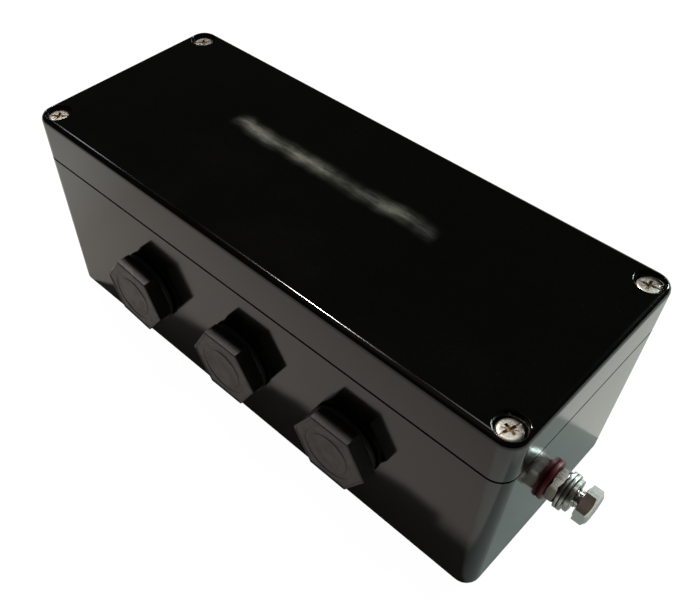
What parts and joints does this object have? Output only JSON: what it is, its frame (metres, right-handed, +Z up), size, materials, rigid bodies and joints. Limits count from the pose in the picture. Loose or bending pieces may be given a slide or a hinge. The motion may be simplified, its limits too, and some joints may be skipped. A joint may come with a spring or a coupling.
{
  "type": "electrical junction box",
  "caption": "Rectangular glossy black junction box with a screwed lid, hexagonal stopping plugs in its front wall, an external earth bolt, and rail terminals inside.",
  "frame": {"origin": "centre of the underside", "axes": "+X along the length towards the earth bolt, -Y out of the wall with the stopping plugs, +Z up through the lid"},
  "size_m": [0.2043, 0.0821, 0.075],
  "materials": {
    "polyester": "glossy moulded",
    "polyamide": "satin moulded",
    "rubber_seal": "matt",
    "foam_gasket": "matt foam",
    "nickel_steel": "bright nickel plate",
    "brass": "turned",
    "red_fibre": "pressed fibre",
    "zinc_steel": "zinc plated",
    "terminal_housing": "moulded",
    "earth_housing": "moulded"
  },
  "bodies": {
    "base": {"base_shell": "polyester", "lid_insert_1": "brass", "lid_insert_2": "brass", "lid_insert_3": "brass", "lid_insert_4": "brass", "terminal_rail": "zinc_steel", "rail_screw_1": "zinc_steel", "rail_screw_2": "zinc_steel", "rail_bracket_1": "terminal_housing", "rail_bracket_2": "terminal_housing", "terminal_1": "terminal_housing", "terminal_2": "terminal_housing", "terminal_3": "terminal_housing", "terminal_4": "terminal_housing", "terminal_end_plate": "terminal_housing", "terminal_earth": "earth_housing", "plug_locknut_1": "polyamide", "plug_locknut_2": "polyamide", "plug_locknut_3": "polyamide", "earth_fibre_washer": "red_fibre", "earth_thin_nut": "nickel_steel", "earth_inside_washer": "nickel_steel", "earth_inside_nut": "nickel_steel"},
    "lid": {"lid": "polyester", "lid_gasket": "foam_gasket"},
    "lid_screw_1_travel": {"screw_retainer_1": "rubber_seal"},
    "lid_screw_1": {"lid_screw_1": "nickel_steel"},
    "lid_screw_2_travel": {"screw_retainer_2": "rubber_seal"},
    "lid_screw_2": {"lid_screw_2": "nickel_steel"},
    "lid_screw_3_travel": {"screw_retainer_3": "rubber_seal"},
    "lid_screw_3": {"lid_screw_3": "nickel_steel"},
    "lid_screw_4_travel": {"screw_retainer_4": "rubber_seal"},
    "lid_screw_4": {"lid_screw_4": "nickel_steel"},
    "plug_1_travel": {"plug_seal_1": "rubber_seal"},
    "plug_1": {"stopping_plug_1": "polyamide"},
    "plug_2_travel": {"plug_seal_2": "rubber_seal"},
    "plug_2": {"stopping_plug_2": "polyamide"},
    "plug_3_travel": {"plug_seal_3": "rubber_seal"},
    "plug_3": {"stopping_plug_3": "polyamide"},
    "earth_bolt_travel": {"earth_washer_inner": "nickel_steel", "earth_washer_outer": "nickel_steel", "earth_spring_washer": "nickel_steel"},
    "earth_bolt": {"earth_bolt": "nickel_steel"},
    "terminal_1_screw_front": {"terminal_1_screw_front": "zinc_steel"},
    "terminal_1_screw_back": {"terminal_1_screw_back": "zinc_steel"},
    "terminal_2_screw_front": {"terminal_2_screw_front": "zinc_steel"},
    "terminal_2_screw_back": {"terminal_2_screw_back": "zinc_steel"},
    "terminal_3_screw_front": {"terminal_3_screw_front": "zinc_steel"},
    "terminal_3_screw_back": {"terminal_3_screw_back": "zinc_steel"},
    "terminal_4_screw_front": {"terminal_4_screw_front": "zinc_steel"},
    "terminal_4_screw_back": {"terminal_4_screw_back": "zinc_steel"},
    "terminal_earth_screw_front": {"terminal_earth_screw_front": "zinc_steel"},
    "terminal_earth_screw_back": {"terminal_earth_screw_back": "zinc_steel"}
  },
  "joints": [
    {"name": "lid_lift", "type": "slide", "parent": "base", "child": "lid", "axis": [0, 0, 1], "range_m": [0, 0.06]},
    {"name": "lid_screw_1_advance", "type": "slide", "parent": "lid", "child": "lid_screw_1_travel", "axis": [0, 0, 1], "range_m": [0, 0.0077]},
    {"name": "lid_screw_1_turn", "type": "hinge", "parent": "lid_screw_1_travel", "child": "lid_screw_1", "pos_m": [-0.0893, -0.0318, 0.0735], "axis": [0, 0, 1], "range_deg": [0, 3961]},
    {"name": "lid_screw_2_advance", "type": "slide", "parent": "lid", "child": "lid_screw_2_travel", "axis": [0, 0, 1], "range_m": [0, 0.0077]},
    {"name": "lid_screw_2_turn", "type": "hinge", "parent": "lid_screw_2_travel", "child": "lid_screw_2", "pos_m": [0.0893, -0.0318, 0.0735], "axis": [0, 0, 1], "range_deg": [0, 3961]},
    {"name": "lid_screw_3_advance", "type": "slide", "parent": "lid", "child": "lid_screw_3_travel", "axis": [0, 0, 1], "range_m": [0, 0.0077]},
    {"name": "lid_screw_3_turn", "type": "hinge", "parent": "lid_screw_3_travel", "child": "lid_screw_3", "pos_m": [0.0893, 0.0318, 0.0735], "axis": [0, 0, 1], "range_deg": [0, 3961]},
    {"name": "lid_screw_4_advance", "type": "slide", "parent": "lid", "child": "lid_screw_4_travel", "axis": [0, 0, 1], "range_m": [0, 0.0077]},
    {"name": "lid_screw_4_turn", "type": "hinge", "parent": "lid_screw_4_travel", "child": "lid_screw_4", "pos_m": [-0.0893, 0.0318, 0.0735], "axis": [0, 0, 1], "range_deg": [0, 3961]},
    {"name": "plug_1_advance", "type": "slide", "parent": "base", "child": "plug_1_travel", "axis": [0, -1, 0], "range_m": [0, 0.012]},
    {"name": "plug_1_turn", "type": "hinge", "parent": "plug_1_travel", "child": "plug_1", "pos_m": [-0.045, -0.03946, 0.0286], "axis": [0, -1, 0], "range_deg": [0, 2881]},
    {"name": "plug_2_advance", "type": "slide", "parent": "base", "child": "plug_2_travel", "axis": [0, -1, 0], "range_m": [0, 0.012]},
    {"name": "plug_2_turn", "type": "hinge", "parent": "plug_2_travel", "child": "plug_2", "pos_m": [0, -0.03946, 0.0286], "axis": [0, -1, 0], "range_deg": [0, 2881]},
    {"name": "plug_3_advance", "type": "slide", "parent": "base", "child": "plug_3_travel", "axis": [0, -1, 0], "range_m": [0, 0.012]},
    {"name": "plug_3_turn", "type": "hinge", "parent": "plug_3_travel", "child": "plug_3", "pos_m": [0.045, -0.03946, 0.0286], "axis": [0, -1, 0], "range_deg": [0, 2881]},
    {"name": "earth_bolt_advance", "type": "slide", "parent": "base", "child": "earth_bolt_travel", "axis": [1, 0, 0], "range_m": [0, 0.02]},
    {"name": "earth_bolt_turn", "type": "hinge", "parent": "earth_bolt_travel", "child": "earth_bolt", "pos_m": [0.10167, -0.0048, 0.0253], "axis": [1, 0, 0], "range_deg": [0, 7201]},
    {"name": "terminal_1_screw_front_turn", "type": "hinge", "parent": "base", "child": "terminal_1_screw_front", "pos_m": [-0.01365, -0.01258, 0.0383], "axis": [0, 0, 1], "range_deg": [0, 1080]},
    {"name": "terminal_1_screw_back_turn", "type": "hinge", "parent": "base", "child": "terminal_1_screw_back", "pos_m": [-0.01365, 0.01862, 0.0383], "axis": [0, 0, 1], "range_deg": [0, 1080]},
    {"name": "terminal_2_screw_front_turn", "type": "hinge", "parent": "base", "child": "terminal_2_screw_front", "pos_m": [-0.00745, -0.01258, 0.0383], "axis": [0, 0, 1], "range_deg": [0, 1080]},
    {"name": "terminal_2_screw_back_turn", "type": "hinge", "parent": "base", "child": "terminal_2_screw_back", "pos_m": [-0.00745, 0.01862, 0.0383], "axis": [0, 0, 1], "range_deg": [0, 1080]},
    {"name": "terminal_3_screw_front_turn", "type": "hinge", "parent": "base", "child": "terminal_3_screw_front", "pos_m": [-0.00125, -0.01258, 0.0383], "axis": [0, 0, 1], "range_deg": [0, 1080]},
    {"name": "terminal_3_screw_back_turn", "type": "hinge", "parent": "base", "child": "terminal_3_screw_back", "pos_m": [-0.00125, 0.01862, 0.0383], "axis": [0, 0, 1], "range_deg": [0, 1080]},
    {"name": "terminal_4_screw_front_turn", "type": "hinge", "parent": "base", "child": "terminal_4_screw_front", "pos_m": [0.00495, -0.01258, 0.0383], "axis": [0, 0, 1], "range_deg": [0, 1080]},
    {"name": "terminal_4_screw_back_turn", "type": "hinge", "parent": "base", "child": "terminal_4_screw_back", "pos_m": [0.00495, 0.01862, 0.0383], "axis": [0, 0, 1], "range_deg": [0, 1080]},
    {"name": "terminal_earth_screw_front_turn", "type": "hinge", "parent": "base", "child": "terminal_earth_screw_front", "pos_m": [0.01365, -0.01258, 0.0383], "axis": [0, 0, 1], "range_deg": [0, 1080]},
    {"name": "terminal_earth_screw_back_turn", "type": "hinge", "parent": "base", "child": "terminal_earth_screw_back", "pos_m": [0.01365, 0.01862, 0.0383], "axis": [0, 0, 1], "range_deg": [0, 1080]}
  ],
  "couplings": [
    {"joint": "lid_screw_1_turn", "follows": "lid_screw_1_advance", "rad_per_m": 8976},
    {"joint": "lid_screw_2_turn", "follows": "lid_screw_2_advance", "rad_per_m": 8976},
    {"joint": "lid_screw_3_turn", "follows": "lid_screw_3_advance", "rad_per_m": 8976},
    {"joint": "lid_screw_4_turn", "follows": "lid_screw_4_advance", "rad_per_m": 8976},
    {"joint": "plug_1_turn", "follows": "plug_1_advance", "rad_per_m": 4188.8},
    {"joint": "plug_2_turn", "follows": "plug_2_advance", "rad_per_m": 4188.8},
    {"joint": "plug_3_turn", "follows": "plug_3_advance", "rad_per_m": 4188.8},
    {"joint": "earth_bolt_turn", "follows": "earth_bolt_advance", "rad_per_m": 6283.2}
  ]
}
